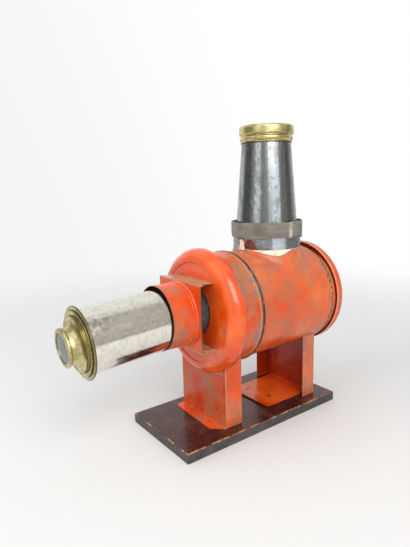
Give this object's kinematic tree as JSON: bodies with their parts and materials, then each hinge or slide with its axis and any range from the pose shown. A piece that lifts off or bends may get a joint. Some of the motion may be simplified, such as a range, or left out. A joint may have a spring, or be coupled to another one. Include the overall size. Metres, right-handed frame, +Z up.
{
  "type": "toy magic lantern",
  "caption": "Lacquered tin toy projection lantern: cylindrical lamphouse with tapered chimney, open slide stage and sliding lens tube, on two sheet feet and a wooden board.",
  "frame": {"origin": "centre of the board's underside", "axes": "+X is the object's left side, the side seen in the picture; -Y is the way the lens looks; +Z is up"},
  "size_m": [0.119, 0.2789, 0.2866],
  "materials": {
    "board_wood": "dark varnish over stained softwood, worn edges",
    "red_lacquer": "orange-red lacquer on tin, worn to the metal in patches",
    "black_bead": "black, half gloss",
    "nail_steel": "plain steel, lightly rusted",
    "tinplate": "dull tinplate",
    "nickel": "nickel plate, tarnished and scratched",
    "silvered": "silvered and polished",
    "brass": "lacquered brass, tarnished in the grooves",
    "clear_glass": "clear",
    "grey_glass": "grey with dust",
    "paper": "aged cream paper",
    "blued_sheet": "blued sheet iron, half gloss",
    "grey_strap": "grey woven tape, matt",
    "wick_cotton": "woven cotton"
  },
  "bodies": {
    "lantern": {"base_board": "board_wood", "front_foot": "red_lacquer", "rear_foot": "red_lacquer", "foot_nails": "nail_steel", "front_bezel": "red_lacquer", "front_section": "red_lacquer", "joint_band": "black_bead", "body_shell": "red_lacquer", "slide_stage": "red_lacquer", "lens_collar": "red_lacquer", "condenser_cell": "tinplate", "condenser_lens": "clear_glass", "condenser_ring": "nail_steel", "packing_paper": "paper", "lamp_floor": "tinplate", "lamp_tank": "brass", "filler_cap": "brass", "burner": "brass", "wick_tube": "brass", "glass_gallery": "brass", "lamp_glass": "clear_glass"},
    "focus_unit": {"lens_tube": "nickel", "lens_mount": "brass", "lens_cell": "brass", "front_lens": "grey_glass", "rear_lens": "clear_glass", "rear_lens_rings": "nail_steel"},
    "chimney_unit": {"chimney_socket": "blued_sheet", "chimney_flue": "blued_sheet", "chimney_rim": "blued_sheet", "chimney_crown": "brass", "chimney_strap": "grey_strap"},
    "cap_unit": {"rear_cap": "red_lacquer", "reflector": "silvered", "reflector_stud": "nail_steel"},
    "winder": {"wick_spindle": "brass"},
    "wick_strip": {"wick": "wick_cotton"}
  },
  "joints": [
    {"name": "focus_slide", "type": "slide", "parent": "lantern", "child": "focus_unit", "axis": [0, -0.9976, -0.0698], "range_m": [-0.008, 0.008]},
    {"name": "rear_cap_pull", "type": "slide", "parent": "lantern", "child": "cap_unit", "axis": [0, 1, 0], "range_m": [0, 0.035]},
    {"name": "chimney_lift", "type": "slide", "parent": "lantern", "child": "chimney_unit", "axis": [0, 0, 1], "range_m": [0, 0.03]},
    {"name": "wick_turn", "type": "hinge", "parent": "lantern", "child": "winder", "pos_m": [-0.0042, 0.042, 0.098], "axis": [0, -1, 0], "range_deg": [-35, 95]},
    {"name": "wick_raise", "type": "slide", "parent": "lantern", "child": "wick_strip", "axis": [0, 0, 1], "range_m": [-0.0018, 0.0049]}
  ],
  "couplings": [
    {"joint": "wick_turn", "follows": "wick_raise", "rad_per_m": 333.33}
  ]
}
